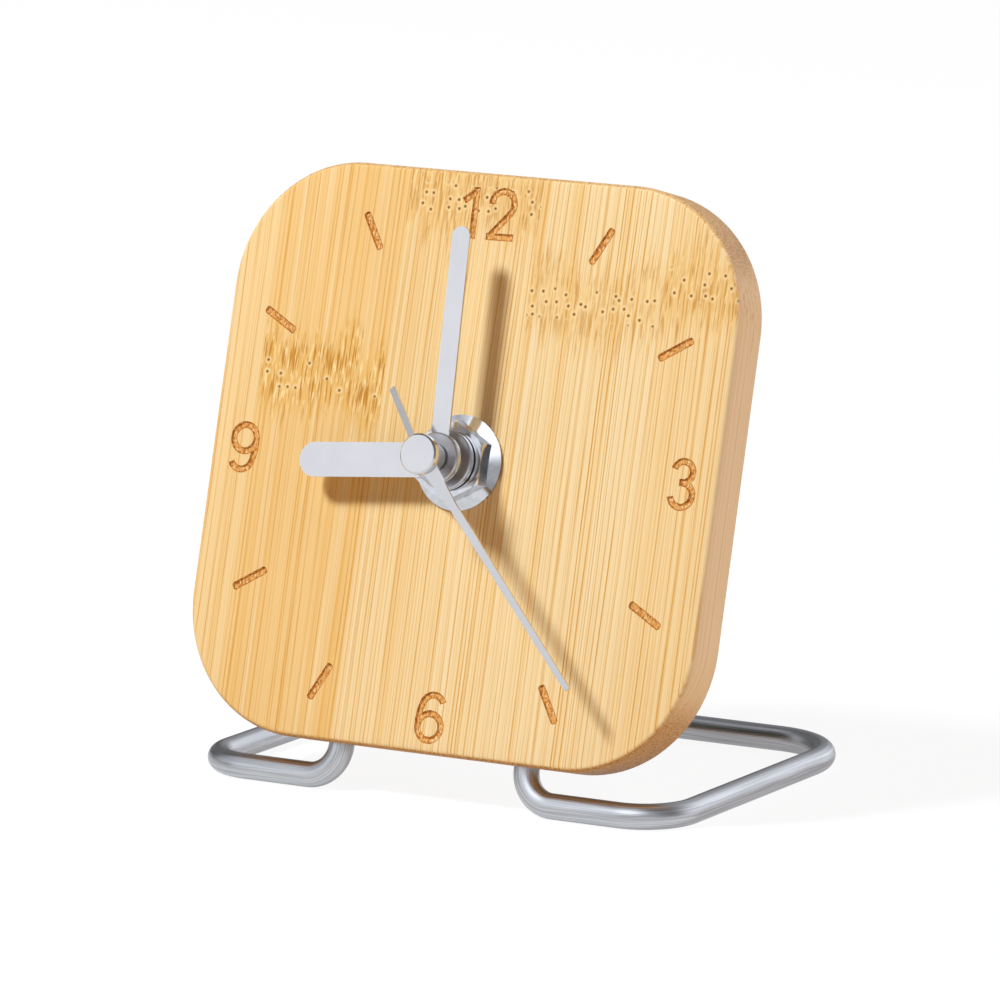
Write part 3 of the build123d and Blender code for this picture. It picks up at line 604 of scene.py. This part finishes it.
def engraving(depth, inset):
    """The marks of the dial to a depth, narrowed by an inset: numbers at the quarters and bars between."""
    bm = bmesh.new()
    centre = Matrix.Translation((0, -engraving_drop, 0)) @ Matrix.Rotation(engraving_turn, 4, "Z")
    width = bar_width - 2 * inset
    length = bar_length - 2 * inset
    for hour in range(1, 13):
        angle = hour * math.pi / 6
        direction = Vector((math.sin(angle), math.cos(angle), 0))
        if hour not in numerals:
            place = Matrix.Translation(bar_reach * direction) @ Matrix.Rotation(-angle, 4, "Z")
            bar = block(width, length, 2 * depth, bar_corner_share * width, edge_facets)
            join_into(bm, bar, centre @ place)
            continue
        for figure, shift, turn in numerals[hour]:
            place = Matrix.Translation(numeral_reach * direction + Vector((shift, 0, 0)))
            place = place @ Matrix.Rotation(math.radians(turn), 4, "Z")
            for path in numeral_strokes[figure]:
                join_into(bm, pen_stroke(depth, inset, *path), centre @ place)
    return bm


def dial_board():
    """The bamboo board, drilled, with its dial engraved in it."""
    board = new_object("bamboo_dial_board", plain_board(), bamboo, scorched, burnt)
    for name, bm, material in (
        ("drills", drills(), bamboo),
        ("scorch", engraving(scorch_depth, 0), scorched),
        ("engraving", engraving(engraving_depth, scorch_width), burnt),
    ):
        combine(board, "DIFFERENCE", new_object(name, bm, material))
    hand_in(board, dial_frame, "dial_board", sharp_from=30)


# Nut


def turned_blank(radius, height, rise, inset):
    """A round blank on the face with a cone on its top, which goes in by an inset and up by a rise."""
    bm = rod(radius, height)
    bmesh.ops.translate(bm, vec=(0, 0, height / 2), verts=bm.verts)
    top = max(bm.faces, key=lambda face: face.calc_center_median().z)
    bmesh.ops.inset_region(bm, faces=[top], thickness=inset, use_even_offset=True)
    bmesh.ops.translate(bm, vec=(0, 0, rise), verts=top.verts)
    return bm


def hand_nut():
    """The flanged nut: a shallow cone round a hexagon whose corners are turned off in front."""
    chrome = finishes["chrome_nut"]
    corner = nut_across_flats / 2 / math.cos(math.pi / 6)
    height = nut_front - nut_flange_rim
    hexagon = bmesh.new()
    sit = Matrix.Translation((0, 0, nut_flange_rim + height / 2))
    bmesh.ops.create_cone(hexagon, cap_ends=True, segments=6, radius1=corner, radius2=corner, depth=height,
                          matrix=sit)
    nut = new_object("flanged_hex_nut", hexagon, chrome)
    turned = nut_front - nut_corner_drop
    blank = turned_blank(corner + nut_corner_cut, turned, nut_corner_drop, 2 * nut_corner_cut)
    combine(nut, "INTERSECT", new_object("turning", blank, chrome))
    flange = turned_blank(nut_flange_radius, nut_flange_rim, nut_flange_rise, nut_flange_slope)
    combine(nut, "UNION", new_object("flange", flange, chrome))
    combine(nut, "DIFFERENCE", new_object("bore", rod(nut_bore_radius, 3 * nut_front), chrome))
    hand_in(nut, dial_frame, "hand_nut", sharp_from=15)


# Wire stand


def drawn(bm, unbent, ring, length, matrix, middle):
    """The last ring of a wire drawn on by a length and moved about a middle. Each point keeps its place on
    the unbent wire."""
    edges = {e for v in ring for e in v.link_edges if all(w in ring for w in e.verts)}
    made = bmesh.ops.extrude_edge_only(bm, edges=list(edges))["geom"]
    ring = [v for v in made if isinstance(v, bmesh.types.BMVert)]
    for vert in ring:
        vert[unbent] = Vector(vert[unbent]) + Vector((0, 0, length))
    bmesh.ops.transform(bm, matrix=matrix, space=Matrix.Translation(-middle), verts=ring)
    return ring


def wire_stand():
    """One brushed wire, bent six times, from inside the board round the table and back up into the board."""
    back = Vector((0, 1, 0))
    end_run = wire_end_depth + wire_neck
    front_run = (stand_width - wire_end_spacing) / 2 - wire_lift_radius - wire_front_radius
    side_run = stand_depth - wire_front_radius - wire_rear_radius
    rear_run = stand_width - 2 * wire_rear_radius
    # Each move has a straight run, the radius of the bend after it and the heading after that
    moves = [(end_run, wire_lift_radius, dial_right), (front_run, wire_front_radius, back),
             (side_run, wire_rear_radius, -dial_right), (rear_run, wire_rear_radius, -back),
             (side_run, wire_front_radius, dial_right), (front_run, wire_lift_radius, dial_up),
             (end_run, 0, None)]
    start = Vector((wire_end_spacing / 2, wire_end_depth - board_width / 2, -board_thickness / 2))
    place = dial_frame @ start / mm
    heading = -dial_up

    bm = bmesh.new()
    unbent = bm.verts.layers.float_vector.new("unbent")
    ring = bmesh.ops.create_circle(bm, cap_ends=False, radius=wire_radius, segments=wire_facets)["verts"]
    for vert in ring:
        vert[unbent] = vert.co
    turn = heading.to_track_quat("Z", "Y").to_matrix().to_4x4()
    bmesh.ops.transform(bm, matrix=Matrix.Translation(place) @ turn, verts=ring)
    bmesh.ops.contextual_create(bm, geom=ring)
    for run, radius, after in moves:
        ring = drawn(bm, unbent, ring, run, Matrix.Translation(run * heading), Vector())
        place = place + run * heading
        if after:
            middle = place + radius * after
            angle = math.pi / 2 / bend_facets
            bend = Matrix.Rotation(angle, 4, heading.cross(after))
            for _ in range(bend_facets):
                ring = drawn(bm, unbent, ring, radius * angle, bend, middle)
            place = middle + radius * heading
            heading = after
    bmesh.ops.contextual_create(bm, geom=ring)
    wire = new_object("brushed_wire_stand", bm, finishes["steel_wire"])
    hand_in(wire, Matrix.Scale(mm, 4), "wire_stand", sharp_from=60)


# Floor, light and camera


def white_floor():
    """A plain white sheet that keeps the clock's soft shadow. It throws warm light back on the clock, and
    metal reflects more of the shadow than the camera sees."""
    bm = bmesh.new()
    bmesh.ops.create_grid(bm, x_segments=1, y_segments=1, size=floor_reach)
    material, tree = new_material("white_sheet")
    floor = new_object("floor", bm, material)
    path = add(tree, "LightPath")
    seen = add(tree, "Math", {0: path["Is Glossy Ray"], 1: path["Is Camera Ray"]}, operation="MAXIMUM")[0]
    share = add(tree, "Math", {0: path["Is Camera Ray"], 1: floor_glow_share}, operation="MULTIPLY")[0]
    share = add(tree, "Math", {0: seen, 1: floor_glow_share, 2: share}, operation="MULTIPLY_ADD")[0]
    glow = add(tree, "Emission", {"Color": linear("#FFFFFF"), "Strength": floor_glow})[0]
    paper = add(tree, "Mix", {0: seen, 6: linear("#CBAE88"), 7: linear("#D0D0D0")}, data_type="RGBA")[2]
    paper = add(tree, "BsdfDiffuse", {"Color": paper})[0]
    both = add(tree, "MixShader", {0: share, 1: paper, 2: glow})[0]
    add(tree, "OutputMaterial", {"Surface": both})


def softbox():
    """A daylight softbox high at the left. Metal reflects the panels instead of it."""
    lamp = bpy.data.lights.new("softbox", "AREA")
    lamp.energy = lamp_power
    lamp.size = lamp_size
    lamp.color = lamp_daylight
    box = bpy.data.objects.new("softbox", lamp)
    box.location = lamp_aim + lamp_distance * lamp_way
    box.rotation_euler = lamp_way.to_track_quat("Z", "Y").to_euler()
    box.visible_glossy = False
    bpy.context.scene.collection.objects.link(box)


def studio_room():
    """A dim warm room with soft panels. Metal sees the room grey, and the camera sees it white."""
    world = bpy.data.worlds.new("room")
    world.use_nodes = True
    bpy.context.scene.world = world
    tree = world.node_tree
    tree.nodes.clear()
    path = add(tree, "LightPath")
    way = add(tree, "TexCoord")["Generated"]
    inputs = {0: path["Is Glossy Ray"], 6: linear("#5D3723"), 7: linear("#6F6F6F")}
    dim = add(tree, "Mix", inputs, data_type="RGBA")[2]
    room = add(tree, "Background", {"Color": dim, "Strength": 1.0})[0]
    for direction, edge, core, seen, cast in panels:
        inputs = {0: way, 1: Vector(direction).normalized()}
        towards = add(tree, "VectorMath", inputs, operation="DOT_PRODUCT")["Value"]
        strength = add(tree, "MapRange", {0: path["Is Glossy Ray"], 3: cast, 4: seen})[0]
        inputs = {0: towards, 1: edge, 2: core, 4: strength}
        panel = add(tree, "MapRange", inputs, interpolation_type="SMOOTHSTEP")[0]
        panel = add(tree, "Background", {"Color": linear("#F4F8FF"), "Strength": panel})[0]
        room = add(tree, "AddShader", {0: room, 1: panel})[0]
    white = add(tree, "Background", {"Color": linear("#FFFFFF"), "Strength": 1.0})[0]
    both = add(tree, "MixShader", {0: path["Is Camera Ray"], 1: room, 2: white})[0]
    add(tree, "OutputWorld", {"Surface": both})


def photo_camera():
    """A long lens from the right, a little above the clock."""
    lens = bpy.data.cameras.new("camera")
    lens.lens = camera_lens
    lens.sensor_width = camera_sensor
    lens.clip_end = camera_sight
    camera = bpy.data.objects.new("camera", lens)
    camera.location = dial_place + camera_from_dial * mm
    camera.rotation_euler = (math.pi / 2 - camera_dip, 0, camera_turn)
    bpy.context.scene.collection.objects.link(camera)
    bpy.context.scene.camera = camera


dial_board()
hand_nut()
wire_stand()
white_floor()
softbox()
studio_room()
photo_camera()
bpy.context.scene.view_settings.view_transform = "Standard"
